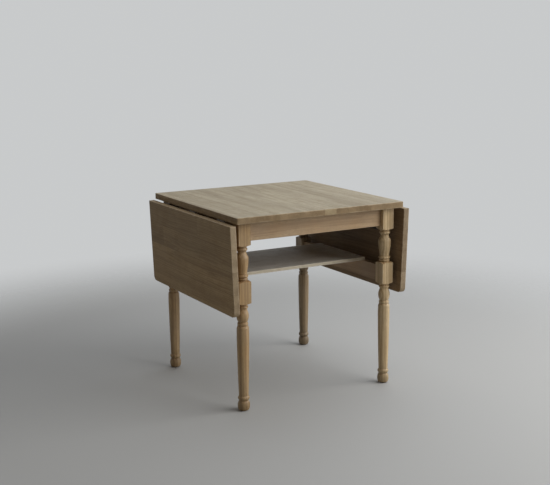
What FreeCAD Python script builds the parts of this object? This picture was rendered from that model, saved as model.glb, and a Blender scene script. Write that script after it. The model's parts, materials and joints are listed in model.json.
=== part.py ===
import FreeCAD, Part
import math
import os

# A square drop-leaf table, in millimetres. X runs from leaf to leaf, Y from front to rear, Z up.
# The origin is on the floor under the middle of the top. Both leaves hang at rest.

Vector = FreeCAD.Vector

# Top and leaves
table_height = 710.0
top_length = 700.0
top_depth = 700.0
board_thickness = 23.0
top_corner_radius = 4.0
board_easing = 2.0
leaf_length = 323.0
leaf_corner_radius = 20.0
leaf_gap = 1.5
leaf_lean_degrees = 2.2

# Legs: square stock with two square blocks, turned below and between them
leg_stock = 48.0
leg_easing = 1.5
side_overhang = 21.5
end_overhang = 30.0
top_block_height = 85.0
upper_turning_length = 125.0
mid_block_height = 83.0
block_shoulder = 4.0

# Rows are height share, radius share and swell share: a swell bends the stretch below into an arc
lower_turning_shares = [
    (0.000, 0.800, 0.0), (0.074, 0.830, 0.105), (0.080, 0.735, 0.0), (0.090, 0.735, -0.030),
    (0.095, 0.775, 0.0), (0.128, 0.775, 0.105), (0.132, 0.720, 0.0), (0.141, 0.735, 0.0),
    (0.682, 0.930, 0.022), (0.759, 0.905, 0.010), (0.791, 0.815, 0.045), (0.794, 0.745, 0.0),
    (0.800, 0.745, -0.015), (0.803, 0.790, 0.0), (0.823, 0.780, 0.030), (0.826, 0.710, 0.0),
    (0.835, 0.710, -0.020), (0.839, 0.758, 0.0), (0.936, 0.725, 0.172), (0.951, 0.700, -0.012),
    (0.959, 0.729, 0.0), (0.980, 0.729, 0.117), (0.985, 0.717, 0.0), (1.000, 0.917, -0.050),
]
upper_turning_shares = [
    (0.000, 0.917, 0.0), (0.024, 0.733, -0.040), (0.032, 0.770, 0.0), (0.080, 0.770, 0.080),
    (0.092, 0.742, 0.0), (0.100, 0.775, 0.0), (0.176, 0.783, 0.137), (0.192, 0.733, 0.0),
    (0.216, 0.767, 0.0), (0.312, 0.808, -0.015), (0.608, 0.971, 0.040), (0.744, 0.775, 0.075),
    (0.824, 0.633, -0.030), (0.856, 0.700, -0.020), (0.868, 0.750, 0.0), (0.936, 0.750, 0.090),
    (0.948, 0.708, 0.0), (1.000, 0.917, -0.050),
]
block_end_share = 0.975

# Rails: the aprons under the top and the low side stretchers, tenoned into the legs
rail_thickness = 20.0
rail_easing = 1.5
apron_height = 70.0
apron_setback = 16.0
stretcher_height = 60.0
stretcher_rise = 5.0
tenon_thickness = 8.0
tenon_gap = 2.0
tenon_shoulder = 10.0
joint_clearance = 0.15

# Shelf
shelf_thickness = 12.0
shelf_depth = 330.0
shelf_inset = 8.0
shelf_easing = 1.0
shelf_screw_spread = 240.0

# Corner blocks
corner_block_thickness = 24.0
corner_block_height = 46.0
corner_block_leg_gap = 1.5
corner_screw_bite = 15.0

# Buttons that hold the top
button_width = 30.0
button_reach = 26.0
button_height = 18.0
button_tongue_length = 8.0
button_tongue_thickness = 7.0
button_screw_reach = 15.0
button_spread = 260.0

# Foot glides
glide_radius = 13.0
glide_thickness = 4.0
glide_easing = 1.0
glide_spigot_radius = 3.0
glide_spigot_length = 12.0

# Hinges
hinge_length = 50.0
hinge_leg_gap = 17.0
flap_width = 28.0
flap_thickness = 1.6
flap_screw_inset = 12.0
flap_screw_spread = 17.0
barrel_radius = 3.0
barrel_gap = 0.2
hinge_pin_radius = 1.5
hinge_pin_clearance = 0.05
knuckle_gap = 0.3
knuckle_count = 5

# Slotted stays
stay_spread = 150.0
stud_drop = 18.0
stud_radius = 3.0
stud_head_radius = 6.0
stud_head_thickness = 2.0
ear_drop = 11.5
rivet_radius = 2.5
bar_thickness = 2.5
bar_height = 18.0
bar_tail = 12.0
notch_depth = 3.0
bracket_width = 18.0
bracket_thickness = 2.5
bracket_foot_length = 38.0
bracket_screw_inset = 8.0
slide_clearance = 0.3
rivet_clearance = 0.05

# Screws, countersunk, with a cross recess
plate_screw_head_radius = 3.2
plate_screw_radius = 1.6
plate_screw_length = 15.0
wood_screw_head_radius = 4.2
wood_screw_radius = 2.1
wood_screw_length = 30.0
screw_tip_radius = 0.4
screw_clearance = 0.1
recess_width_share = 0.3
recess_depth_share = 0.8
recess_span_share = 1.2

overrun = 20.0
edge_tolerance = 0.001

# Places that follow from the sizes above
underside = table_height - board_thickness
leg_half = leg_stock / 2
leg_x = top_length / 2 - side_overhang - leg_half
leg_y = top_depth / 2 - end_overhang - leg_half
leg_foot = glide_thickness
top_block_foot = underside - top_block_height
mid_block_top = top_block_foot - upper_turning_length
mid_block_foot = mid_block_top - mid_block_height
tenon_length = leg_half - tenon_thickness / 2 - tenon_gap
apron_bottom = underside - apron_height
apron_y = leg_y + leg_half - apron_setback - rail_thickness / 2
stretcher_bottom = mid_block_foot + stretcher_rise
shelf_bottom = stretcher_bottom + stretcher_height
shelf_bearing = rail_thickness - shelf_inset
shelf_end = leg_x + rail_thickness / 2 - shelf_inset
pin_x = top_length / 2 + leaf_gap / 2
pin_z = underside - barrel_radius - barrel_gap
hinge_spread = leg_y - leg_half - hinge_leg_gap - hinge_length / 2
hang_degrees = 90 + leaf_lean_degrees
side_names = {1: "right", -1: "left"}
end_names = {-1: "front", 1: "rear"}


def span_box(xs, ys, zs):
    low = Vector(min(xs), min(ys), min(zs))
    size = Vector(max(xs), max(ys), max(zs)) - low
    return Part.makeBox(size.x, size.y, size.z, low)


def level_edges(shape, height):
    return [e for e in shape.Edges if all(abs(v.Z - height) < edge_tolerance for v in e.Vertexes)]


def upright_edges(shape):
    return [e for e in shape.Edges if e.BoundBox.XLength + e.BoundBox.YLength < edge_tolerance]


def revolved(edges):
    face = Part.Face(Part.Wire(edges))
    return face.revolve(Vector(0, 0, 0), Vector(0, 0, 1), 360)


def aimed(shape, place, direction):
    # Turns a shape made along +Z to a direction and moves it to its place
    turned = shape.copy()
    turned.Placement = FreeCAD.Placement(place, FreeCAD.Rotation(Vector(0, 0, 1), direction))
    return turned


def on_side(shape, side):
    # Pieces of a leaf are made on the right: the left ones are turned half round the table's axis
    placed = shape.copy()
    if side < 0:
        placed.rotate(Vector(0, 0, 0), Vector(0, 0, 1), 180)
    return placed


def hung(shape):
    # Swings a piece of the right leaf from level with the top to its rest
    placed = shape.copy()
    placed.rotate(Vector(pin_x, 0, pin_z), Vector(0, 1, 0), hang_degrees)
    return placed


def screw(head_radius, radius, length):
    head_height = head_radius - radius
    tip_height = radius
    tip_foot = length - tip_height
    body = Part.makeCone(head_radius, radius, head_height)
    body = body.fuse(Part.makeCylinder(radius, tip_foot - head_height, Vector(0, 0, head_height)))
    body = body.fuse(Part.makeCone(radius, screw_tip_radius, tip_height, Vector(0, 0, tip_foot)))
    width = head_radius * recess_width_share / 2
    reach = head_radius * recess_span_share / 2
    depth = head_height * recess_depth_share
    for xs, ys in (((-reach, reach), (-width, width)), ((-width, width), (-reach, reach))):
        body = body.cut(span_box(xs, ys, (-depth, depth)))
    return body.removeSplitter()


def screw_hole(head_radius, radius, length):
    # The screw with its clearance, open above the head
    head_height = head_radius - radius
    wide = head_radius + screw_clearance
    narrow = radius + screw_clearance
    hole = Part.makeCone(wide, narrow, head_height)
    hole = hole.fuse(Part.makeCylinder(narrow, length + screw_clearance))
    return hole.fuse(Part.makeCylinder(wide, overrun, Vector(0, 0, -overrun)))


def plate_screw():
    return screw(plate_screw_head_radius, plate_screw_radius, plate_screw_length)


def plate_screw_hole():
    return screw_hole(plate_screw_head_radius, plate_screw_radius, plate_screw_length)


def wood_screw():
    return screw(wood_screw_head_radius, wood_screw_radius, wood_screw_length)


def wood_screw_hole():
    return screw_hole(wood_screw_head_radius, wood_screw_radius, wood_screw_length)


def at_each(shape, places):
    # Copies of a shape at (place, direction) pairs
    return [aimed(shape, place, direction) for place, direction in places]


def bored(shape, holes):
    for hole in holes:
        shape = shape.cut(hole)
    return shape


# Board pieces

def eased_board(xs, corner_radius, from_x):
    # A board as deep as the top, its corners beyond from_x rounded and its rims eased
    half_y = top_depth / 2
    board = span_box(xs, (-half_y, half_y), (underside, table_height))
    corners = [e for e in upright_edges(board) if e.CenterOfMass.x > from_x]
    board = board.makeFillet(corner_radius, corners)
    rims = level_edges(board, table_height) + level_edges(board, underside)
    return board.makeFillet(board_easing, rims)


def top_panel():
    half_x = top_length / 2
    board = eased_board((-half_x, half_x), top_corner_radius, -top_length)
    holes = at_each(wood_screw_hole(), button_screw_places())
    for side in side_names:
        holes += [on_side(h, side) for h in at_each(plate_screw_hole(), flap_screw_places(-1))]
    return bored(board, holes)


def leaf_board():
    # Level with the top, on the right
    edge = pin_x + leaf_gap / 2
    board = eased_board((edge, edge + leaf_length), leaf_corner_radius, edge + leaf_length / 2)
    holes = at_each(plate_screw_hole(), flap_screw_places(1))
    for end in end_names:
        holes += at_each(plate_screw_hole(), bracket_screw_places(ear_x(), underside, end))
    return bored(board, holes)


# Legs

def turning(foot, height, shares):
    points = [Vector(leg_half * radius, 0, foot + height * rise) for rise, radius, swell in shares]
    edges = [Part.makeLine(Vector(0, 0, foot), points[0])]
    for low, high, row in zip(points, points[1:], shares[1:]):
        if row[2]:
            middle = (low + high) / 2 + Vector(leg_half * row[2], 0, 0)
            edges.append(Part.Arc(low, middle, high).toShape())
        else:
            edges.append(Part.makeLine(low, high))
    edges.append(Part.makeLine(points[-1], Vector(0, 0, foot + height)))
    edges.append(Part.makeLine(Vector(0, 0, foot + height), Vector(0, 0, foot)))
    return revolved(edges)


def stock_slab(low, high):
    # Wider than the stock, between two heights
    return span_box((-leg_stock, leg_stock), (-leg_stock, leg_stock), (low, high))


def leg_block(foot, height, turned_height):
    # Square stock whose corners are turned to a cone at the ends of turned_height
    block = span_box((-leg_half, leg_half), (-leg_half, leg_half), (foot, foot + height))
    block = block.makeFillet(leg_easing, upright_edges(block))
    end_radius = leg_half * block_end_share
    cone_height = block_shoulder * (leg_stock - end_radius) / (leg_half * math.sqrt(2) - end_radius)
    top = foot + turned_height
    lower = Part.makeCone(end_radius, leg_stock, cone_height, Vector(0, 0, foot))
    upper = Part.makeCone(end_radius, leg_stock, cone_height, Vector(0, 0, top), Vector(0, 0, -1))
    block = block.common(lower.fuse(stock_slab(foot + cone_height, top)))
    return block.common(upper.fuse(stock_slab(foot, top - cone_height)))


def leg(side, end):
    lower = turning(leg_foot, mid_block_foot - leg_foot, lower_turning_shares)
    middle = leg_block(mid_block_foot, mid_block_height, mid_block_height)
    upper = turning(mid_block_top, upper_turning_length, upper_turning_shares)
    top = leg_block(top_block_foot, top_block_height, top_block_height + leg_stock)
    shape = lower.multiFuse([middle, upper, top]).removeSplitter()
    shape.translate(Vector(side * leg_x, end * leg_y, 0))
    for rail in (apron(end), side_apron(side), side_stretcher(side)):
        shape = shape.cut(rail["mortises"])
    socket_radius = glide_spigot_radius + joint_clearance
    socket = Part.makeCylinder(socket_radius, glide_spigot_length + joint_clearance)
    return shape.cut(aimed(socket, Vector(side * leg_x, end * leg_y, leg_foot), Vector(0, 0, 1)))


# Rails

def rail(length, height, bottom):
    # A rail along X at the origin, with its tenons and the mortises that take them
    half = length / 2
    half_thick = rail_thickness / 2
    half_tenon = tenon_thickness / 2
    zs = (bottom, bottom + height)
    board = span_box((-half, half), (-half_thick, half_thick), zs)
    board = board.makeFillet(rail_easing, [e for e in level_edges(board, bottom) if e.Length > height])
    inner = (bottom + tenon_shoulder, bottom + height - tenon_shoulder)
    reach = half + tenon_length
    tenon = span_box((-reach, reach), (-half_tenon, half_tenon), inner)
    wide = half_tenon + joint_clearance
    tall = (inner[0] - joint_clearance, inner[1] + joint_clearance)
    deep = reach + joint_clearance
    mortises = span_box((-deep, deep), (-wide, wide), tall)
    return {"board": board.fuse(tenon).removeSplitter(), "mortises": mortises}


def moved_rail(pieces, degrees, x, y):
    moved = {}
    for name, shape in pieces.items():
        moved[name] = shape.copy()
        moved[name].rotate(Vector(0, 0, 0), Vector(0, 0, 1), degrees)
        moved[name].translate(Vector(x, y, 0))
    return moved


def apron(end):
    pieces = rail(2 * (leg_x - leg_half), apron_height, apron_bottom)
    return moved_rail(pieces, 0, 0, end * apron_y)


def side_apron(side):
    pieces = rail(2 * (leg_y - leg_half), apron_height, apron_bottom)
    return moved_rail(pieces, 90, side * leg_x, 0)


def side_stretcher(side):
    pieces = rail(2 * (leg_y - leg_half), stretcher_height, stretcher_bottom)
    return moved_rail(pieces, 90, side * leg_x, 0)


def apron_board(end):
    holes = button_slots() + at_each(wood_screw_hole(), corner_screw_places())
    return bored(apron(end)["board"], holes)


def side_apron_board(side):
    holes = button_slots() + at_each(wood_screw_hole(), corner_screw_places())
    for end in end_names:
        places = bracket_screw_places(leg_x, apron_bottom, end)
        holes += [on_side(h, side) for h in at_each(plate_screw_hole(), places)]
    return bored(side_apron(side)["board"], holes)


def stretcher_board(side):
    return bored(side_stretcher(side)["board"], at_each(wood_screw_hole(), shelf_screw_places()))


# Shelf

def shelf_screw_places():
    x = shelf_end - shelf_bearing / 2
    y = shelf_screw_spread / 2
    z = shelf_bottom + shelf_thickness
    return [(Vector(s * x, e * y, z), Vector(0, 0, -1)) for s in side_names for e in end_names]


def shelf():
    half_y = shelf_depth / 2
    zs = (shelf_bottom, shelf_bottom + shelf_thickness)
    board = span_box((-shelf_end, shelf_end), (-half_y, half_y), zs)
    board = board.makeFillet(shelf_easing, board.Edges)
    return bored(board, at_each(wood_screw_hole(), shelf_screw_places()))


# Corner blocks: each stands across a corner of the apron frame, clear of the leg

def corner_faces():
    # Inner faces of the side apron and of the front or rear apron
    return leg_x - rail_thickness / 2, apron_y - rail_thickness / 2


def corner_legs():
    # Distances from the frame's inner corner to the block's outer and inner faces, along an apron
    face_x, face_y = corner_faces()
    leg_corner = (face_x - leg_x + leg_half) + (face_y - leg_y + leg_half)
    outer = leg_corner + corner_block_leg_gap * math.sqrt(2)
    return outer, outer + corner_block_thickness * math.sqrt(2)


def corner_screw_places():
    face_x, face_y = corner_faces()
    along = sum(corner_legs()) / 2
    height = apron_bottom + apron_height / 2
    seat_x = face_x - wood_screw_length + corner_screw_bite
    seat_y = face_y - wood_screw_length + corner_screw_bite
    places = []
    for side in side_names:
        for end in end_names:
            places.append((Vector(side * (face_x - along), end * seat_y, height), Vector(0, end, 0)))
            places.append((Vector(side * seat_x, end * (face_y - along), height), Vector(side, 0, 0)))
    return places


def corner_block(side, end):
    face_x, face_y = corner_faces()
    outer, inner = corner_legs()
    bottom = apron_bottom + (apron_height - corner_block_height) / 2
    offsets = [(outer, 0), (inner, 0), (0, inner), (0, outer), (outer, 0)]
    points = [Vector(side * (face_x - dx), end * (face_y - dy), bottom) for dx, dy in offsets]
    block = Part.Face(Part.makePolygon(points)).extrude(Vector(0, 0, corner_block_height))
    return bored(block, at_each(wood_screw_hole(), corner_screw_places()))


# Buttons: each hooks into a slot in an apron and is screwed to the top

def button_frames():
    # Place on an apron's inner face and the direction towards the middle of the table
    face_x, face_y = corner_faces()
    half = button_spread / 2
    frames = []
    for sign in end_names:
        for step in (-half, half):
            frames.append((Vector(step, sign * face_y, underside), Vector(0, -sign, 0)))
            frames.append((Vector(sign * face_x, step, underside), Vector(-sign, 0, 0)))
    return frames


def against_apron(shape, place, inward):
    turned = shape.copy()
    turned.rotate(Vector(0, 0, 0), Vector(0, 0, 1), math.degrees(math.atan2(inward.y, inward.x)))
    turned.translate(place)
    return turned


def button_tongue(clearance):
    half = button_width / 2 + clearance
    low = -button_height - clearance
    high = -button_height + button_tongue_thickness + clearance
    return span_box((-button_tongue_length - clearance, 0), (-half, half), (low, high))


def button_screw_places():
    up = Vector(0, 0, 1)
    drop = Vector(0, 0, -button_height)
    return [(place + inward * button_screw_reach + drop, up) for place, inward in button_frames()]


def button_slots():
    slot = button_tongue(joint_clearance)
    return [against_apron(slot, place, inward) for place, inward in button_frames()]


def top_buttons():
    half = button_width / 2
    body = span_box((0, button_reach), (-half, half), (-button_height, 0)).fuse(button_tongue(0))
    seat = Vector(button_screw_reach, 0, -button_height)
    body = body.cut(aimed(wood_screw_hole(), seat, Vector(0, 0, 1))).removeSplitter()
    return [against_apron(body, place, inward) for place, inward in button_frames()]


# Foot glides

def foot_glides():
    disc = Part.makeCylinder(glide_radius, glide_thickness)
    disc = disc.makeFillet(glide_easing, level_edges(disc, 0))
    spigot = Part.makeCylinder(glide_spigot_radius, glide_spigot_length, Vector(0, 0, glide_thickness))
    glide = disc.fuse(spigot)
    feet = [Vector(s * leg_x, e * leg_y, 0) for s in side_names for e in end_names]
    return [aimed(glide, foot, Vector(0, 0, 1)) for foot in feet]


# Hinges, made level with the top on the right

def hinge_rows():
    return [-hinge_spread, 0, hinge_spread]


def flap_screw_places(outward):
    # Screws of one flap of every hinge: outward is -1 for the top's flap and 1 for the leaf's
    x = pin_x + outward * (flap_width - flap_screw_inset)
    z = underside - flap_thickness
    places = []
    for y in hinge_rows():
        for step in (-flap_screw_spread, 0, flap_screw_spread):
            places.append((Vector(x, y + step, z), Vector(0, 0, 1)))
    return places


def knuckle_spans(y):
    pitch = hinge_length / knuckle_count
    start = y - hinge_length / 2
    return [(start + i * pitch, start + (i + 1) * pitch) for i in range(knuckle_count)]


def along_pin(radius, low, high):
    return Part.makeCylinder(radius, high - low, Vector(pin_x, low, pin_z), Vector(0, 1, 0))


def hinge_flap(y, outward):
    half = hinge_length / 2
    flap = span_box((pin_x, pin_x + outward * flap_width), (y - half, y + half),
                    (underside - flap_thickness, underside))
    first = 0 if outward < 0 else 1
    for i, (low, high) in enumerate(knuckle_spans(y)):
        if i % 2 == first:
            flap = flap.fuse(along_pin(barrel_radius, low + knuckle_gap / 2, high - knuckle_gap / 2))
        else:
            flap = flap.cut(along_pin(barrel_radius + 2 * knuckle_gap, low - knuckle_gap / 2,
                                      high + knuckle_gap / 2))
    bore_radius = hinge_pin_radius + hinge_pin_clearance
    flap = flap.cut(along_pin(bore_radius, y - hinge_length, y + hinge_length))
    return bored(flap.removeSplitter(), at_each(plate_screw_hole(), flap_screw_places(outward)))


def hinge_pins():
    half = hinge_length / 2
    return [along_pin(hinge_pin_radius, y - half, y + half) for y in hinge_rows()]


# Slotted stays. The stud under the apron and the ear on the leaf are equally far from the hinge pin,
# so the bar between them turns half as far as the leaf and stays in line with both.

def stud_z():
    return apron_bottom - stud_drop


def stay_reach():
    return math.hypot(pin_x - leg_x, pin_z - stud_z())


def ear_z():
    return underside - ear_drop


def ear_x():
    return pin_x + math.sqrt(stay_reach() ** 2 - (pin_z - ear_z()) ** 2)


def hung_ear():
    angle = math.radians(hang_degrees)
    dx = ear_x() - pin_x
    dz = ear_z() - pin_z
    return (pin_x + dx * math.cos(angle) + dz * math.sin(angle),
            pin_z - dx * math.sin(angle) + dz * math.cos(angle))


def ear_faces(end):
    # The bracket's upright stands beside the bar, on the side away from the middle of the table
    near = bar_thickness / 2 + slide_clearance
    far = near + bracket_thickness
    return end * (stay_spread + near), end * (stay_spread + far)


def bracket_screw_places(x, seat, end):
    near, far = ear_faces(end)
    tip = near + end * bracket_foot_length
    rows = (tip - end * bracket_screw_inset, far + end * bracket_screw_inset)
    return [(Vector(x, y, seat - bracket_thickness), Vector(0, 0, 1)) for y in rows]


def stay_bracket(x, z, seat, end, pin_radius):
    # An angle plate screwed under a face at the seat's height, with a pin hole below it
    near, far = ear_faces(end)
    half = bracket_width / 2
    upright = span_box((x - half, x + half), (near, far), (z, seat))
    upright = upright.fuse(across_bar(half, x, z, near, far))
    foot = span_box((x - half, x + half), (near, near + end * bracket_foot_length),
                    (seat - bracket_thickness, seat))
    plate = upright.fuse(foot).removeSplitter()
    plate = plate.cut(across_bar(pin_radius + rivet_clearance, x, z, near, far))
    return bored(plate, at_each(plate_screw_hole(), bracket_screw_places(x, seat, end)))


def across_bar(radius, x, z, start, stop):
    direction = Vector(0, stop - start, 0)
    return Part.makeCylinder(radius, direction.Length, Vector(x, start, z), direction)


def stay_pin(x, z, end, radius):
    # A headed pin through the bracket and the bar, with a head beyond each
    near, far = ear_faces(end)
    open_face = end * (stay_spread - bar_thickness / 2 - slide_clearance)
    pin = across_bar(radius, x, z, open_face, far)
    head = across_bar(stud_head_radius, x, z, open_face - end * stud_head_thickness, open_face)
    clench = across_bar(stud_head_radius, x, z, far, far + end * stud_head_thickness)
    return pin.fuse(head).fuse(clench).removeSplitter()


def stadium(start, stop, radius, low, high):
    # A bar with round ends along X, between two heights along Z
    body = span_box((start, stop), (-radius, radius), (low, high))
    for x in (start, stop):
        body = body.fuse(Part.makeCylinder(radius, high - low, Vector(x, 0, low)))
    return body


def stay_bar(end):
    rest_x, rest_z = hung_ear()
    rest_length = math.hypot(rest_x - leg_x, rest_z - stud_z())
    raised_length = math.hypot(ear_x() - leg_x, ear_z() - stud_z())
    half = bar_thickness / 2
    bar = stadium(0, raised_length + bar_tail, bar_height / 2, -half, half)
    slot_radius = stud_radius + slide_clearance
    bar = bar.cut(stadium(rest_length, raised_length, slot_radius, -half, half))
    notch = stadium(0, notch_depth, slot_radius, -half, half)
    notch.rotate(Vector(0, 0, 0), Vector(0, 0, 1), 90)
    notch.translate(Vector(raised_length, 0, 0))
    bar = bar.cut(notch)
    bar = bar.cut(Part.makeCylinder(rivet_radius + rivet_clearance, bar_thickness, Vector(0, 0, -half)))
    # Stands the bar on edge, then points it from the ear to the stud
    bar.rotate(Vector(0, 0, 0), Vector(1, 0, 0), 90)
    rise = math.degrees(math.atan2(stud_z() - rest_z, leg_x - rest_x))
    bar.rotate(Vector(0, 0, 0), Vector(0, 1, 0), -rise)
    bar.translate(Vector(rest_x, end * stay_spread, rest_z))
    return bar


def frame_pieces():
    pieces = {"top_panel": top_panel(), "shelf": shelf()}
    for end, end_name in end_names.items():
        pieces[end_name + "_apron"] = apron_board(end)
        for side, side_name in side_names.items():
            corner = end_name + "_" + side_name
            pieces[corner + "_leg"] = leg(side, end)
            pieces[corner + "_corner_block"] = corner_block(side, end)
    for side, side_name in side_names.items():
        pieces[side_name + "_apron"] = side_apron_board(side)
        pieces[side_name + "_stretcher"] = stretcher_board(side)
    pieces["corner_block_screws"] = at_each(wood_screw(), corner_screw_places())
    pieces["top_buttons"] = top_buttons()
    pieces["top_button_screws"] = at_each(wood_screw(), button_screw_places())
    pieces["shelf_screws"] = at_each(wood_screw(), shelf_screw_places())
    pieces["foot_glides"] = foot_glides()
    return pieces


def fixed_hardware():
    # Hinge and stay pieces that stay with the frame
    pieces = {"hinge_top_screws": [], "stay_studs": [], "stay_bracket_screws": []}
    row_names = {-1: "front", 0: "middle", 1: "rear"}
    for side, side_name in side_names.items():
        for row, row_name in row_names.items():
            flap = hinge_flap(side * row * hinge_spread, -1)
            pieces[side_name + "_" + row_name + "_hinge_top_flap"] = on_side(flap, side)
        pieces[side_name + "_hinge_pins"] = [on_side(p, side) for p in hinge_pins()]
        for s in at_each(plate_screw(), flap_screw_places(-1)):
            pieces["hinge_top_screws"].append(on_side(s, side))
        for end, end_name in end_names.items():
            bracket = stay_bracket(leg_x, stud_z(), apron_bottom, side * end, stud_radius)
            pieces[side_name + "_" + end_name + "_stay_bracket"] = on_side(bracket, side)
            pieces["stay_studs"].append(on_side(stay_pin(leg_x, stud_z(), end, stud_radius), side))
            for s in at_each(plate_screw(), bracket_screw_places(leg_x, apron_bottom, end)):
                pieces["stay_bracket_screws"].append(on_side(s, side))
    return pieces


def leaf_pieces(side):
    name = side_names[side]
    raised = {name + "_leaf_board": leaf_board()}
    for row, row_name in {-1: "front", 0: "middle", 1: "rear"}.items():
        raised[name + "_" + row_name + "_hinge_leaf_flap"] = hinge_flap(side * row * hinge_spread, 1)
    raised[name + "_hinge_leaf_screws"] = at_each(plate_screw(), flap_screw_places(1))
    rivets = []
    ear_screws = []
    for end, end_name in end_names.items():
        ear = stay_bracket(ear_x(), ear_z(), underside, side * end, rivet_radius)
        raised[name + "_" + end_name + "_stay_ear"] = ear
        rivets.append(stay_pin(ear_x(), ear_z(), end, rivet_radius))
        ear_screws += at_each(plate_screw(), bracket_screw_places(ear_x(), underside, end))
    raised[name + "_stay_rivets"] = rivets
    raised[name + "_stay_ear_screws"] = ear_screws
    pieces = {}
    for node, shape in raised.items():
        group = shape if isinstance(shape, list) else [shape]
        pieces[node] = [on_side(hung(s), side) for s in group]
    for end, end_name in end_names.items():
        pieces[name + "_" + end_name + "_stay_bar"] = on_side(stay_bar(side * end), side)
    return pieces


def main():
    pieces = frame_pieces()
    pieces.update(fixed_hardware())
    for side in side_names:
        pieces.update(leaf_pieces(side))
    os.makedirs("parts", exist_ok=True)
    for node, shape in sorted(pieces.items()):
        solids = shape if isinstance(shape, list) else [shape]
        solids = [solid for s in solids for solid in s.Solids]
        body = solids[0] if len(solids) == 1 else Part.makeCompound(solids)
        body.exportStep("parts/" + node + ".step")
        print(node, len(solids), round(body.Volume), body.isValid())
    print(len(pieces), "nodes")


main()
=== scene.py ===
import json
import math

import bpy
import numpy as np
from mathutils import Matrix, Vector


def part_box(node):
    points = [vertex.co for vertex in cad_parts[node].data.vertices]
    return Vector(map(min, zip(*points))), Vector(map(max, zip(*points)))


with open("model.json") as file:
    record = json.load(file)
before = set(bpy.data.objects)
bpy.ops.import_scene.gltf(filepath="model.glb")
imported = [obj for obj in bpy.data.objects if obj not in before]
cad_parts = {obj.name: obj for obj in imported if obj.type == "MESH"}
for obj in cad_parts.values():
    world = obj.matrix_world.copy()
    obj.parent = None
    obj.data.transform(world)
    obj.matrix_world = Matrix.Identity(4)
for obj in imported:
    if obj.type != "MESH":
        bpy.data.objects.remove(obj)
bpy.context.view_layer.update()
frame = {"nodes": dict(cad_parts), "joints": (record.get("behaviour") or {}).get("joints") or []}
nodes = frame["nodes"]
xAxis, yAxis, zAxis = (1, 0, 0), (0, 1, 0), (0, 0, 1)


# node helpers, shared by the effects and the finishes

mixSockets = {"factor": 0, "first": 6, "second": 7, "result": 2}  # where the Mix node has its colours


def addNode(tree, kind, **settings):
    node = tree.nodes.new("ShaderNode" + kind)
    for name, value in settings.items():
        setattr(node, name, value)
    return node


def feed(tree, socket, value):  # a link from a socket, or a plain value
    if isinstance(value, bpy.types.NodeSocket):
        tree.links.new(value, socket)
    else:
        socket.default_value = value


def feedAll(tree, node, values):  # a node's first inputs, in their order
    for socket, value in zip(node.inputs, values):
        feed(tree, socket, value)


def maths(tree, operation, *values, clamp=False):
    node = addNode(tree, "Math", operation=operation, use_clamp=clamp)
    feedAll(tree, node, values)
    return node.outputs[0]


def vectorMaths(tree, operation, *values, result="Vector"):
    node = addNode(tree, "VectorMath", operation=operation)
    feedAll(tree, node, values)
    return node.outputs[result]


def scaled(tree, vector, factor):
    node = addNode(tree, "VectorMath", operation="SCALE")
    feed(tree, node.inputs[0], vector)
    feed(tree, node.inputs["Scale"], factor)
    return node.outputs["Vector"]


def split(tree, vector):
    node = addNode(tree, "SeparateXYZ")
    feed(tree, node.inputs[0], vector)
    return node.outputs


def combined(tree, *parts):
    node = addNode(tree, "CombineXYZ")
    feedAll(tree, node, parts)
    return node.outputs[0]


def ramp(tree, value, low, high, toLow=0.0, toHigh=1.0):  # smooth step from low to high
    node = addNode(tree, "MapRange", interpolation_type="SMOOTHSTEP")
    feedAll(tree, node, (value, low, high, toLow, toHigh))
    return node.outputs[0]


def noise(tree, vector, stretch, detail=2.0, rough=0.5, result="Fac"):  # stretch is repeats a metre
    node = addNode(tree, "TexNoise")
    feed(tree, node.inputs["Vector"], vectorMaths(tree, "MULTIPLY", vector, stretch))
    for name, value in (("Scale", 1.0), ("Detail", detail), ("Roughness", rough)):
        node.inputs[name].default_value = value
    return node.outputs[result]


def mixed(tree, factor, first, second, blend="MIX"):
    node = addNode(tree, "Mix", data_type="RGBA", blend_type=blend)
    for name, value in (("factor", factor), ("first", first), ("second", second)):
        feed(tree, node.inputs[mixSockets[name]], value)
    return node.outputs[mixSockets["result"]]


def overlay(tree, mask, share, colour, over, blend="MIX"):  # a share of another colour where the mask is
    return mixed(tree, maths(tree, "MULTIPLY", mask, share), colour, over, blend)


def newGroup(name, inputs, outputs):
    group = bpy.data.node_groups.new(name, "ShaderNodeTree")
    for label, kind in inputs.items():
        group.interface.new_socket(name=label, in_out="INPUT", socket_type="NodeSocket" + kind)
    for label, kind in outputs.items():
        group.interface.new_socket(name=label, in_out="OUTPUT", socket_type="NodeSocket" + kind)
    return group, group.nodes.new("NodeGroupInput").outputs, group.nodes.new("NodeGroupOutput").inputs


def place(tree, group, **values):  # a group in a tree: fills its inputs by name, gives its outputs
    node = addNode(tree, "Group", node_tree=group)
    for label, value in values.items():
        feed(tree, node.inputs[label], value)
    return node.outputs


# shared effects. Every Vector is in metres, with x along the grain, y across the face, z through it.
# A noise is repeats a metre, detail and roughness; limits are where a mask begins and where it is full.

noiseMean = 0.5

grainMarks = {
    "seedShift": (3.17, 1.31, 0.73), "drift": ((1.3, 6, 6), 2.0, 0.5),
    "uneven": ((0.8, 55, 55), 1.0), "unevenShare": 1.6,
    "lateRise": (0.25, 0.9), "lateFall": (0.92, 1.0), "lateHeight": 0.25, "latePores": -0.75,
    "fibre": ((16, 620, 620), 4.0, 0.62), "fibreShare": 0.9, "fibreHeight": 0.5,
    "broad": ((1.7, 26, 26), 4.0, 0.55), "broadLimits": (0.28, 0.74),
    "pore": ((75, 1900, 1900), 0.0), "poreLimits": (0.6, 0.72), "poreShare": 0.55,
    "poreHeight": -0.9, "poreDry": 0.4,
}


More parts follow.
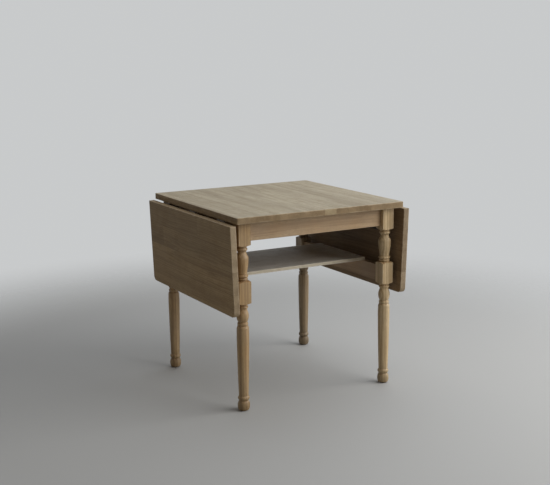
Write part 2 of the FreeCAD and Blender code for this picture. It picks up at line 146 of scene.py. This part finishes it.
def makeWoodGrain(look):
    # rings: distance from a wandering heart line, wrapped at the ring width
    # fibres and pores: noise drawn out along x
    group, given, made = newGroup(
        "woodGrain",
        {"Vector": "Vector", "Heart": "Vector", "Ring": "Float", "Wander": "Float", "Seed": "Float",
         "Pale": "Color", "Deep": "Color", "Pore": "Color", "Figure": "Float", "Streak": "Float"},
        {"Color": "Color", "Height": "Float", "Dry": "Float"})
    spot = vectorMaths(group, "ADD", given["Vector"], scaled(group, look["seedShift"], given["Seed"]))
    drift = noise(group, spot, *look["drift"], result="Color")
    drift = scaled(group, vectorMaths(group, "SUBTRACT", drift, [noiseMean] * 3), given["Wander"])
    fromHeart = vectorMaths(group, "ADD", given["Vector"], drift)
    fromHeart = vectorMaths(group, "SUBTRACT", fromHeart, given["Heart"])
    flat = vectorMaths(group, "MULTIPLY", fromHeart, (0, 1, 1))
    reach = maths(group, "DIVIDE", vectorMaths(group, "LENGTH", flat, result="Value"), given["Ring"])
    uneven = noise(group, vectorMaths(group, "ADD", spot, flat), *look["uneven"])
    year = maths(group, "FRACT", maths(group, "MULTIPLY_ADD", uneven, look["unevenShare"], reach))
    late = ramp(group, year, *look["lateRise"])
    late = maths(group, "MULTIPLY", late, ramp(group, year, *look["lateFall"], 1.0, 0.0))
    fibre = noise(group, spot, *look["fibre"])
    broad = ramp(group, noise(group, spot, *look["broad"]), *look["broadLimits"])
    pore = ramp(group, noise(group, spot, *look["pore"]), *look["poreLimits"])
    pore = maths(group, "MULTIPLY", pore, maths(group, "MULTIPLY_ADD", late, look["latePores"], 1.0))
    depth = maths(group, "MULTIPLY", late, given["Figure"])
    fibreSwing = maths(group, "SUBTRACT", fibre, noiseMean)
    depth = maths(group, "MULTIPLY_ADD", fibreSwing, look["fibreShare"], depth)
    depth = maths(group, "MULTIPLY_ADD", broad, given["Streak"], depth, clamp=True)
    colour = mixed(group, depth, given["Pale"], given["Deep"])
    feed(group, made["Color"], overlay(group, pore, look["poreShare"], colour, given["Pore"]))
    height = maths(group, "MULTIPLY", fibre, look["fibreHeight"])
    height = maths(group, "MULTIPLY_ADD", pore, look["poreHeight"], height)
    feed(group, made["Height"], maths(group, "MULTIPLY_ADD", late, look["lateHeight"], height))
    feed(group, made["Dry"], maths(group, "MULTIPLY_ADD", pore, look["poreDry"], fibre))
    return group


staveMarks = {"grainShift": (9, 0.05, 0.02), "seamLimits": (0.0002, 0.0009), "fold": 0.5}


def makeStaveLayout(look):
    # staves lie side by side along y: row = floor(y / width)
    # the joints of each row are shifted along x by a random share of its own
    group, given, made = newGroup(
        "staveLayout",
        {"Vector": "Vector", "Width": "Float", "Length": "Float", "Start": "Float", "Seed": "Float"},
        {"Tone": "Float", "Shift": "Vector", "Seam": "Float", "Row": "Float"})
    x, y, _ = split(group, given["Vector"])
    rows = maths(group, "DIVIDE", maths(group, "SUBTRACT", y, given["Start"]), given["Width"])
    row = maths(group, "FLOOR", rows)
    rowKey = addNode(group, "TexWhiteNoise", noise_dimensions="2D")
    feed(group, rowKey.inputs["Vector"], combined(group, row, given["Seed"]))
    along = maths(group, "ADD", maths(group, "DIVIDE", x, given["Length"]), rowKey.outputs["Value"])
    stave = addNode(group, "TexWhiteNoise", noise_dimensions="3D")
    staveKey = combined(group, row, maths(group, "FLOOR", along), given["Seed"])
    feed(group, stave.inputs["Vector"], staveKey)
    feed(group, made["Row"], row)
    feed(group, made["Tone"], stave.outputs["Value"])
    shift = vectorMaths(group, "MULTIPLY", stave.outputs["Color"], look["grainShift"])
    feed(group, made["Shift"], shift)
    lines = []
    for share, size in ((rows, given["Width"]), (along, given["Length"])):
        off = maths(group, "PINGPONG", share, look["fold"])  # distance to the nearest joint, as a share
        lines.append(ramp(group, maths(group, "MULTIPLY", off, size), *look["seamLimits"], 1.0, 0.0))
    feed(group, made["Seam"], maths(group, "MAXIMUM", *lines))
    return group


wearAndHighlightMarks = {
    "ragged": ((55, 55, 55), 3.0, 0.65), "raggedLimits": (0.3, 0.75), "raggedReach": (0.15, 1.6),
    "fadeLimits": (0.3, 1.0),
}


def makeEdgeWearAndHighlight(look):
    # distance to the nearest edge of a box = the second smallest of its three face distances
    # noise makes the reach of the worn, lighter edge ragged: wear and a painted highlight
    group, given, made = newGroup(
        "edgeWearAndHighlight",
        {"Vector": "Vector", "Half": "Vector", "Reach": "Float", "Seed": "Float"},
        {"WearAndHighlight": "Float"})
    inside = vectorMaths(group, "ABSOLUTE", given["Vector"])
    inside = vectorMaths(group, "SUBTRACT", given["Half"], inside)
    a, b, c = split(group, inside)
    nearest = maths(group, "MINIMUM", a, b)
    edge = maths(group, "MINIMUM", maths(group, "MAXIMUM", a, b), c)
    edge = maths(group, "MAXIMUM", nearest, edge)
    spot = vectorMaths(group, "ADD", given["Vector"], given["Seed"])
    ragged = noise(group, spot, *look["ragged"])
    ragged = ramp(group, ragged, *look["raggedLimits"], *look["raggedReach"])
    share = maths(group, "DIVIDE", edge, maths(group, "MULTIPLY", given["Reach"], ragged))
    feed(group, made["WearAndHighlight"], ramp(group, share, *look["fadeLimits"], 1.0, 0.0))
    return group


patinaMarks = {
    "blotch": ((7, 7, 7), 4.0, 0.6), "blotchLimits": (0.3, 0.7),
    "grime": ((28, 28, 28), 5.0, 0.65), "grimeLimits": (0.42, 0.72),
    "scratch": ((9, 700, 9), 1.0), "scratchLimits": (0.7, 0.76), "scratchTurn": (0, 0, 0.6),
    "patch": ((5, 5, 5), 1.0), "patchLimits": (0.5, 0.62),
}


def makePatina(look):
    # soft blotches and finer grime: noise
    # short fine scratches: noise drawn out along a turned axis and cut off high, in patches
    group, given, made = newGroup(
        "patina",
        {"Vector": "Vector", "Seed": "Float"},
        {"Blotch": "Float", "Scratch": "Float", "Grime": "Float"})
    spot = vectorMaths(group, "ADD", given["Vector"], given["Seed"])
    feed(group, made["Blotch"], ramp(group, noise(group, spot, *look["blotch"]), *look["blotchLimits"]))
    feed(group, made["Grime"], ramp(group, noise(group, spot, *look["grime"]), *look["grimeLimits"]))
    turned = addNode(group, "Mapping")
    turned.inputs["Rotation"].default_value = look["scratchTurn"]
    feed(group, turned.inputs["Vector"], spot)
    line = ramp(group, noise(group, turned.outputs[0], *look["scratch"]), *look["scratchLimits"])
    patch = ramp(group, noise(group, spot, *look["patch"]), *look["patchLimits"])
    feed(group, made["Scratch"], maths(group, "MULTIPLY", line, patch))
    return group


dirtAndShadeMarks = {"samples": 6, "openLimits": (0.45, 0.95)}


def makeGrooveDirtAndShade(look):
    # grooves and inner corners darkened, as dirt and painted shade: the share of the near surroundings that
    # the piece itself hides
    group, given, made = newGroup("grooveDirtAndShade", {"Reach": "Float"}, {"DirtAndShade": "Float"})
    hidden = addNode(group, "AmbientOcclusion", samples=look["samples"], only_local=True)
    feed(group, hidden.inputs["Distance"], given["Reach"])
    feed(group, made["DirtAndShade"], ramp(group, hidden.outputs["AO"], *look["openLimits"], 1.0, 0.0))
    return group


skinMarks = {
    "line": ((40, 1500, 1500), 3.0, 0.6), "spot": ((260, 260, 260), 4.0, 0.6), "spotLimits": (0.5, 0.7),
}


def makeMetalSkin(look):
    # drawn lines along x, and small dull spots
    group, given, made = newGroup("metalSkin", {"Vector": "Vector"}, {"Line": "Float", "Spot": "Float"})
    feed(group, made["Line"], noise(group, given["Vector"], *look["line"]))
    spots = noise(group, given["Vector"], *look["spot"])
    feed(group, made["Spot"], ramp(group, spots, *look["spotLimits"]))
    return group


woodGrain = makeWoodGrain(grainMarks)
staveLayout = makeStaveLayout(staveMarks)
edgeWearAndHighlight = makeEdgeWearAndHighlight(wearAndHighlightMarks)
patina = makePatina(patinaMarks)
grooveDirtAndShade = makeGrooveDirtAndShade(dirtAndShadeMarks)
metalSkin = makeMetalSkin(skinMarks)
print("effects:", ", ".join(g.name for g in bpy.data.node_groups))


# finishes

def newMaterial(name):
    material = bpy.data.materials.new(name)
    material.use_nodes = True
    return material, material.node_tree, material.node_tree.nodes["Principled BSDF"]


def dress(node, material):
    slots = nodes[node].data.materials
    slots.clear()
    slots.append(material)


def nodePlace(node, along, across):  # a node's own axes: centre, grain, across, half sizes
    low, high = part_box(node)
    along, across = Vector(along), Vector(across)
    through = along.cross(across)
    size = high - low
    half = [abs(axis.dot(size)) / 2 for axis in (along, across, through)]
    return {"centre": (low + high) / 2, "axes": (along, across, through), "half": half}


def ownVector(tree, spot):  # object coordinates turned to the piece's own axes and centred on it
    turn = Matrix(spot["axes"])
    mapping = addNode(tree, "Mapping")
    mapping.inputs["Rotation"].default_value = turn.to_euler("XYZ")
    mapping.inputs["Location"].default_value = -(turn @ spot["centre"])
    coordinates = addNode(tree, "TexCoord")
    feed(tree, mapping.inputs["Vector"], coordinates.outputs["Object"])
    return mapping.outputs[0], coordinates.outputs["Normal"]


def facing(tree, normal, axis):  # 1 where a face looks along the axis, -1 where it looks back
    return vectorMaths(tree, "DOT_PRODUCT", normal, axis, result="Value")


def addBump(tree, shader, height, look):
    bump = addNode(tree, "Bump")
    bump.inputs["Strength"].default_value = look["bump"]
    bump.inputs["Distance"].default_value = look["bumpDepth"]
    feed(tree, bump.inputs["Height"], height)
    feed(tree, shader.inputs["Normal"], bump.outputs[0])


# faces are told apart by facing, staves by the number of their row
boardMarks = {
    "sideLimits": (0.55, 0.9), "underShadeLimits": (0.5, 0.9), "upperLimits": (-0.95, -0.5),
    "halfRow": 0.5, "scratchDepth": -0.6,
}


def woodMaterial(name, spot, look, seed):
    material, tree, shader = newMaterial(name)
    vector, normal = ownVector(tree, spot)
    grainVector = vector
    staves = None
    if "staveWidth" in look:
        staves = place(tree, staveLayout, Vector=vector, Width=look["staveWidth"],
                       Length=look["staveLength"], Start=look["staveStart"], Seed=seed)
        grainVector = vectorMaths(tree, "ADD", vector, staves["Shift"])
    grain = place(tree, woodGrain, Vector=grainVector, Heart=look["heart"], Ring=look["ring"],
                  Wander=look["wander"], Seed=seed, Pale=look["pale"], Deep=look["deep"],
                  Pore=look["pore"], Figure=look["figure"], Streak=look["streak"])
    colour = grain["Color"]
    ends = maths(tree, "ABSOLUTE", facing(tree, normal, spot["axes"][0]))
    ends = ramp(tree, ends, *boardMarks["sideLimits"])
    endColour = look["endColour"]
    if staves:
        contrast = maths(tree, "MULTIPLY_ADD", ends, look["endTone"], look["staveTone"])
        shade = maths(tree, "MULTIPLY", staves["Tone"], contrast, clamp=True)
        colour = mixed(tree, shade, colour, look["staveColour"], "MULTIPLY")
        colour = overlay(tree, staves["Seam"], look["seam"], colour, look["deep"], "MULTIPLY")
    if "innerStaves" in look:  # rows below 0, by the hinge, are tinted darker and the others, by the outer edge, paler
        outer = maths(tree, "GREATER_THAN", staves["Row"], -boardMarks["halfRow"])
        halfTints = mixed(tree, outer, look["innerStaves"], look["outerStaves"])
        colour = mixed(tree, maths(tree, "SUBTRACT", 1.0, ends), colour, halfTints, "MULTIPLY")
    marks = place(tree, patina, Vector=vector, Seed=seed)
    colour = overlay(tree, marks["Blotch"], look["blotch"], colour, look["blotchColour"])
    colour = overlay(tree, marks["Grime"], look["grime"], colour, look["grimeColour"], "MULTIPLY")
    colour = overlay(tree, marks["Scratch"], look["scratch"], colour, look["scratchColour"])
    if "paleRow" in look:  # one stave of a paler wood
        pale = maths(tree, "COMPARE", staves["Row"], look["paleRow"], boardMarks["halfRow"])
        endColour = mixed(tree, pale, endColour, look["paleEnd"])
    colour = overlay(tree, ends, look["endShare"], colour, endColour, "MULTIPLY")
    if "rimColour" in look:  # the long edges
        rims = maths(tree, "ABSOLUTE", facing(tree, normal, spot["axes"][1]))
        rims = ramp(tree, rims, *boardMarks["sideLimits"])
        colour = mixed(tree, rims, colour, look["rimColour"], "MULTIPLY")
    if "under" in spot:  # painted shade darkens the hidden face under the board; the upper face is paler and bluer, partly bleached by light and use, partly a painted sheen
        hidden = facing(tree, normal, spot["under"])
        under = ramp(tree, hidden, *boardMarks["underShadeLimits"])
        colour = mixed(tree, under, colour, look["underShadeColour"], "MULTIPLY")
        upper = ramp(tree, hidden, *boardMarks["upperLimits"], 1.0, 0.0)
        colour = mixed(tree, upper, colour, look["bleachAndSheen"], "MULTIPLY")
    # edges lighter: partly worn wood, partly a painted highlight on the arrises
    wornAndHighlighted = place(tree, edgeWearAndHighlight, Vector=vector, Half=spot["half"], Reach=look["wearAndHighlightReach"], Seed=seed)
    colour = overlay(tree, wornAndHighlighted["WearAndHighlight"], look["wearAndHighlight"], colour, look["wearAndHighlightColour"])
    # grooves and inner corners darker: partly dirt, partly painted shade
    if look["dirtAndShade"]:
        dirtAndShade = place(tree, grooveDirtAndShade, Reach=look["dirtAndShadeReach"])
        colour = overlay(tree, dirtAndShade["DirtAndShade"], look["dirtAndShade"], colour, look["dirtAndShadeColour"], "MULTIPLY")
    if "footColour" in look:  # the feet are darker towards the floor
        height = maths(tree, "ADD", split(tree, vector)[0], spot["half"][0])
        low = ramp(tree, height, 0.0, look["footHeight"], look["footShare"], 0.0)
        colour = mixed(tree, low, colour, look["footColour"], "MULTIPLY")
    feed(tree, shader.inputs["Base Color"], colour)
    roughness = maths(tree, "MULTIPLY_ADD", grain["Dry"], look["roughSpread"], look["rough"])
    roughness = maths(tree, "MULTIPLY_ADD", marks["Grime"], look["roughSpread"], roughness)
    feed(tree, shader.inputs["Roughness"], roughness)
    relief = maths(tree, "MULTIPLY_ADD", marks["Scratch"], boardMarks["scratchDepth"], grain["Height"])
    addBump(tree, shader, relief, look)
    shader.inputs["Specular IOR Level"].default_value = look["specular"]
    return material


tonedColours = ("pale", "deep", "pore", "wearAndHighlightColour")


def toned(look, tint):  # the same finish tinted paler, darker or redder: for other pieces of wood and for painted shade
    changed = {name: (*(c * t for c, t in zip(look[name], tint)), 1) for name in tonedColours}
    return {**look, **changed}


# what all the wood has in common; each piece below adds its own colours
dryWood = {
    "pore": (0.15, 0.10, 0.06, 1), "ring": 0.0042, "wander": 0.03, "heart": (0, 0.02, -0.11),
    "figure": 0.5, "streak": 0.7, "blotch": 0.2, "blotchColour": (0.40, 0.36, 0.29, 1),
    "scratch": 0.25, "scratchColour": (0.52, 0.44, 0.33, 1),
    "grime": 0.45, "grimeColour": (0.80, 0.76, 0.70, 1),
    "endShare": 0.8, "endColour": (0.82, 0.70, 0.58, 1),
    "wearAndHighlight": 0.45, "wearAndHighlightReach": 0.0045, "wearAndHighlightColour": (0.50, 0.40, 0.28, 1), "dirtAndShade": 0.0,
    "rough": 0.5, "roughSpread": 0.08, "specular": 0.5, "bump": 0.35, "bumpDepth": 0.0006,
}

# top and leaves: one make of dry board
stripBoard = {
    **dryWood, "pale": (0.45, 0.345, 0.207, 1), "deep": (0.245, 0.173, 0.095, 1),
    "blotchColour": (0.37, 0.295, 0.18, 1), "staveLength": 2.4, "staveColour": (0.78, 0.745, 0.69, 1),
    # the under colour is painted shade on the hidden face of each board
    "endShare": 1.0, "endTone": 0.5, "underShadeColour": (0.74, 0.68, 0.66, 1), "bleachAndSheen": (1, 1, 1, 1),
    "rough": 0.54, "roughSpread": 0.06, "specular": 0.22,
}

# top: staves run from front to rear, so the front and rear edges show end grain
topBoard = {
    **stripBoard, "seed": 1.0, "staveWidth": 0.05, "staveStart": 0.004, "staveTone": 0.5, "seam": 0.4,
    # the top's upper face is paler and bluer: partly bleached, partly a painted sheen
    "bleachAndSheen": (1.08, 1.22, 1.46, 1), "endColour": (0.84, 0.81, 0.79, 1),
    "paleRow": 0.0, "paleEnd": (1.15, 1.22, 1.3, 1),
}
topPlace = {**nodePlace("top_panel", yAxis, xAxis), "under": (0, 0, -1)}
dress("top_panel", woodMaterial("topWood", topPlace, topBoard, topBoard["seed"]))

# leaves: hidden from the light; across the grain is the way from the hinge to the outer edge
leafBoard = {
    **stripBoard, "seed": 2.0, "staveWidth": 0.08, "staveStart": 0.0, "staveTone": 0.45, "seam": 0.6,
}
leafTints = {  # each leaf has its own tints
    "left": {
        "endColour": (1.04, 1.09, 1.24, 1),
        "innerStaves": (0.95, 0.90, 0.83, 1), "outerStaves": (1.16, 1.10, 1.02, 1),
    },
    "right": {"endColour": (0.83, 0.85, 0.95, 1)},
}


def leafPlace(side):
    joint = next(j for j in frame["joints"] if j["name"] == side + "_leaf_hinge")
    hang = math.radians(joint["range_deg"][1])
    sign = 1 if side == "right" else -1
    low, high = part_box(side + "_leaf_board")
    down = Vector((sign * math.cos(hang), 0, -math.sin(hang)))
    along = Vector(yAxis)
    through = along.cross(down)
    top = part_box("top_panel")
    thickness = top[1].z - top[0].z
    length = ((high.z - low.z) - thickness * abs(math.cos(hang))) / math.sin(hang)
    half = [(high.y - low.y) / 2, length / 2, thickness / 2]
    axes = (along, down, through)
    return {"centre": (low + high) / 2, "axes": axes, "half": half, "under": through * sign}


for number, (side, wood) in enumerate(leafTints.items()):
    look = {**leafBoard, **wood}
    leafWood = woodMaterial(side + "LeafWood", leafPlace(side), look, look["seed"] + number)
    dress(side + "_leaf_board", leafWood)
print("boards: top and two leaves")

# shelf: a thin greyed board, grain from side to side
shelfBoard = {
    **dryWood, "seed": 4.0, "pale": (0.79, 0.755, 0.70, 1), "deep": (0.65, 0.615, 0.56, 1),
    "pore": (0.41, 0.37, 0.31, 1), "figure": 0.35,
    "endColour": (0.82, 0.77, 0.64, 1), "rimColour": (0.84, 0.80, 0.68, 1),
    "blotch": 0.25, "blotchColour": (0.61, 0.58, 0.54, 1),
    "wearAndHighlightColour": (0.74, 0.69, 0.60, 1), "scratchColour": (0.74, 0.69, 0.62, 1),
    "staveWidth": 0.11, "staveLength": 3.0, "staveStart": 0.0, "staveTone": 0.3,
    "staveColour": (0.86, 0.84, 0.8, 1), "seam": 0.35, "endTone": 0.0,
}
shelfPlace = nodePlace("shelf", xAxis, yAxis)
dress("shelf", woodMaterial("shelfWood", shelfPlace, shelfBoard, shelfBoard["seed"]))

# legs: upright grain, darker in the grooves (dirt and painted shade) and towards the floor; each was turned
# from its own piece of wood
turnedLeg = {
    **dryWood, "seed": 5.0, "pale": (0.50, 0.355, 0.195, 1), "deep": (0.29, 0.185, 0.085, 1),
    "pore": (0.17, 0.105, 0.05, 1), "ring": 0.013, "wander": 0.012, "heart": (0, 0.06, -0.03),
    "figure": 0.95, "wearAndHighlightReach": 0.003, "wearAndHighlight": 0.35, "rough": 0.46,
    "dirtAndShade": 0.55, "dirtAndShadeReach": 0.011, "dirtAndShadeColour": (0.48, 0.36, 0.26, 1),
    "footHeight": 0.10, "footShare": 0.55, "footColour": (0.42, 0.40, 0.34, 1),
}
# the rear right leg's tint is partly its own darker wood, partly painted shade from the hanging right leaf
legTintsAndShade = {
    "front_left_leg": (1.07, 1.03, 0.93), "front_right_leg": (1.38, 1.5, 1.62),
    "rear_left_leg": (1.05, 1.02, 0.97), "rear_right_leg": (0.57, 0.57, 0.56),
}
for number, (node, tint) in enumerate(legTintsAndShade.items()):
    look = toned(turnedLeg, tint)
    dress(node, woodMaterial(node + "Wood", nodePlace(node, zAxis, xAxis), look, look["seed"] + number))

# rails: aprons and stretchers, grain along their length
railBoard = {
    **dryWood, "seed": 11.0, "pale": (0.52, 0.36, 0.205, 1), "deep": (0.34, 0.215, 0.11, 1),
    "heart": (0, 0.02, -0.16), "wearAndHighlightReach": 0.003, "wearAndHighlight": 0.3,
    "dirtAndShade": 0.25, "dirtAndShadeReach": 0.012, "dirtAndShadeColour": (0.55, 0.44, 0.35, 1),
}
# the stretchers are darkened as painted shade inside the hanging leaves
stretcherShade = (0.70, 0.66, 0.61)
rails = sorted(n for n in nodes if n.endswith(("_apron", "_stretcher")))
for number, node in enumerate(rails):
    along = xAxis if node in ("front_apron", "rear_apron") else yAxis
    look = toned(railBoard, stretcherShade) if node.endswith("_stretcher") else railBoard
    dress(node, woodMaterial(node + "Wood", nodePlace(node, along, zAxis), look, look["seed"] + number))

# blocks and buttons inside the frame: sawn and never finished
sawnBlock = {
    **dryWood, "seed": 19.0, "pale": (0.46, 0.36, 0.24, 1), "deep": (0.33, 0.24, 0.15, 1),
    "wearAndHighlight": 0.15, "rough": 0.62, "bump": 0.6,
}
blocks = sorted(n for n in nodes if n.endswith("_corner_block")) + ["top_buttons"]
for number, node in enumerate(blocks):
    blockPlace = nodePlace(node, zAxis, xAxis)
    dress(node, woodMaterial(node + "Wood", blockPlace, sawnBlock, sawnBlock["seed"] + number))
print("wood:", len([m for m in bpy.data.materials if m.name.endswith("Wood")]), "finishes")


def metalMaterial(name, look):
    material, tree, shader = newMaterial(name)
    coordinates = addNode(tree, "TexCoord")
    skin = place(tree, metalSkin, Vector=coordinates.outputs["Object"])
    colour = overlay(tree, skin["Spot"], look["spot"], look["colour"], look["spotColour"])
    # grooves and inner corners darker: partly dirt, partly painted shade
    dirtAndShade = place(tree, grooveDirtAndShade, Reach=look["dirtAndShadeReach"])
    colour = overlay(tree, dirtAndShade["DirtAndShade"], look["dirtAndShade"], colour, look["dirtAndShadeColour"], "MULTIPLY")
    feed(tree, shader.inputs["Base Color"], colour)
    roughness = maths(tree, "MULTIPLY_ADD", skin["Line"], look["roughSpread"], look["rough"])
    roughness = maths(tree, "MULTIPLY_ADD", skin["Spot"], look["spotRough"], roughness)
    feed(tree, shader.inputs["Roughness"], roughness)
    shader.inputs["Metallic"].default_value = look["metallic"]
    addBump(tree, shader, skin["Line"], look)
    return material


# hardware: brown hinges, black stays, zinc screws, brown nylon glides
zinc = {
    "colour": (0.50, 0.48, 0.44, 1), "metallic": 1.0, "rough": 0.34, "roughSpread": 0.18,
    "spot": 0.5, "spotColour": (0.30, 0.25, 0.19, 1), "spotRough": 0.12,
    "dirtAndShade": 0.6, "dirtAndShadeReach": 0.003, "dirtAndShadeColour": (0.4, 0.34, 0.28, 1),
    "bump": 0.15, "bumpDepth": 0.0002,
}
bronzed = {
    **zinc, "colour": (0.07, 0.05, 0.035, 1), "metallic": 0.4, "rough": 0.55,
    "spotColour": (0.15, 0.10, 0.06, 1),
}
blackSteel = {
    **zinc, "colour": (0.03, 0.027, 0.024, 1), "metallic": 0.0, "rough": 0.45,
    "spotColour": (0.10, 0.075, 0.055, 1),
}
nylon = {
    **zinc, "colour": (0.07, 0.042, 0.028, 1), "metallic": 0.0, "rough": 0.5,
    "spotColour": (0.16, 0.13, 0.105, 1),
}
screwZinc = metalMaterial("screwZinc", zinc)
hingeBronze = metalMaterial("hingeBronze", bronzed)
stayBlack = metalMaterial("stayBlack", blackSteel)
glideNylon = metalMaterial("glideNylon", nylon)
for node in nodes:
    if "hinge" in node:
        dress(node, hingeBronze)
    elif "stay" in node:
        dress(node, stayBlack)
    elif node.endswith("_screws"):
        dress(node, screwZinc)
    elif node == "foot_glides":
        dress(node, glideNylon)
print("hardware: hinges, stays, screws and glides")


# floor: a flat grid z = 0, which fades out at its rim so that no far edge shows

floorSheet = {
    "half": 2.7, "steps": 24, "fadeFrom": 1.2, "fadeTo": 2.6, "colour": (0.405, 0.405, 0.4, 1), "rough": 0.75,
}


def makeFloor(look):
    line = np.linspace(-look["half"], look["half"], look["steps"] + 1)
    x, y = np.meshgrid(line, line)
    points = np.stack([x.ravel(), y.ravel(), np.zeros(x.size)], axis=1)
    number = np.arange(x.size).reshape(x.shape)
    corners = [number[:-1, :-1], number[:-1, 1:], number[1:, 1:], number[1:, :-1]]
    faces = np.stack(corners, axis=-1).reshape(-1, len(corners))
    mesh = bpy.data.meshes.new("studioFloor")
    mesh.from_pydata(points.tolist(), [], faces.tolist())
    sheet = bpy.data.objects.new("studioFloor", mesh)
    bpy.context.scene.collection.objects.link(sheet)
    material, tree, shader = newMaterial("paleFloor")
    coordinates = addNode(tree, "TexCoord")
    away = vectorMaths(tree, "LENGTH", coordinates.outputs["Object"], result="Value")
    solid = ramp(tree, away, look["fadeFrom"], look["fadeTo"], 1.0, 0.0)
    fromBelow = addNode(tree, "NewGeometry").outputs["Backfacing"]
    above = maths(tree, "SUBTRACT", 1.0, fromBelow)  # clear from below
    feed(tree, shader.inputs["Alpha"], maths(tree, "MULTIPLY", solid, above))
    shader.inputs["Base Color"].default_value = look["colour"]
    shader.inputs["Roughness"].default_value = look["rough"]
    mesh.materials.append(material)


makeFloor(floorSheet)

# camera: fitted to the corners of the top and the feet in the 550 x 485 picture
photoView = {
    "azimuth": -29.554, "elevation": 11.132, "roll": -0.443, "distance": 4.0704,
    "target": (-0.003, 0, 0.5323), "focalPixels": 1049.91, "imageWidth": 550, "sensor": 36.0,
}


def viewAxes(look):  # right, up and back of the camera, with its roll
    azimuth, elevation, roll = (math.radians(look[k]) for k in ("azimuth", "elevation", "roll"))
    level = math.cos(elevation)
    back = Vector((math.sin(azimuth) * level, -math.cos(azimuth) * level, math.sin(elevation)))
    right = Vector(zAxis).cross(back).normalized()
    up = back.cross(right)
    return right * math.cos(roll) + up * math.sin(roll), up * math.cos(roll) - right * math.sin(roll), back


def makeCamera(look):
    right, up, back = viewAxes(look)
    lens = bpy.data.cameras.new("photoCamera")
    lens.sensor_fit = "HORIZONTAL"
    lens.sensor_width = look["sensor"]
    lens.lens = look["focalPixels"] / look["imageWidth"] * look["sensor"]
    camera = bpy.data.objects.new("photoCamera", lens)
    bpy.context.scene.collection.objects.link(camera)
    pose = Matrix((right, up, back)).transposed().to_4x4()
    pose.translation = Vector(look["target"]) + back * look["distance"]
    camera.matrix_world = pose
    bpy.context.scene.camera = camera


makeCamera(photoView)

# light: a broad low window from the camera's right, a soft ceiling and a low even room light
windowLight = {"place": (2.45, -2.25, 1.95), "size": (3.6, 2.6), "power": 112, "colour": (1.0, 0.985, 0.95)}
ceilingLight = {"place": (1.9, 0.2, 3.3), "size": (7.0, 7.0), "power": 150, "colour": (0.94, 1.0, 1.07)}
roomLight = {"ambient": (1.0, 0.845, 0.65, 1), "strength": 0.12, "background": (0.58, 0.592, 0.597, 1)}


def makeLight(name, look):
    lamp = bpy.data.lights.new(name, "AREA")
    lamp.shape = "RECTANGLE"
    lamp.size, lamp.size_y = look["size"]
    lamp.energy = look["power"]
    lamp.color = look["colour"]
    light = bpy.data.objects.new(name, lamp)
    bpy.context.scene.collection.objects.link(light)
    light.location = look["place"]
    away = light.location - Vector(photoView["target"])
    light.rotation_euler = away.to_track_quat("Z", "Y").to_euler()


def makeRoom(look):
    world = bpy.data.worlds.new("studioRoom")
    world.use_nodes = True
    bpy.context.scene.world = world
    tree = world.node_tree
    ambient = tree.nodes["Background"]
    ambient.inputs["Color"].default_value = look["ambient"]
    ambient.inputs["Strength"].default_value = look["strength"]
    backdrop = addNode(tree, "Background")
    backdrop.inputs["Color"].default_value = look["background"]
    path = addNode(tree, "LightPath")
    seen = maths(tree, "MAXIMUM", path.outputs["Is Camera Ray"], path.outputs["Is Glossy Ray"])
    seen = maths(tree, "MAXIMUM", seen, path.outputs["Is Transmission Ray"])
    mix = addNode(tree, "MixShader")
    feedAll(tree, mix, (seen, ambient.outputs[0], backdrop.outputs[0]))
    feed(tree, tree.nodes["World Output"].inputs["Surface"], mix.outputs[0])


makeLight("windowLight", windowLight)
makeLight("ceilingLight", ceilingLight)
makeRoom(roomLight)
bpy.context.scene.view_settings.view_transform = "Standard"
print("stage: floor, camera and light")
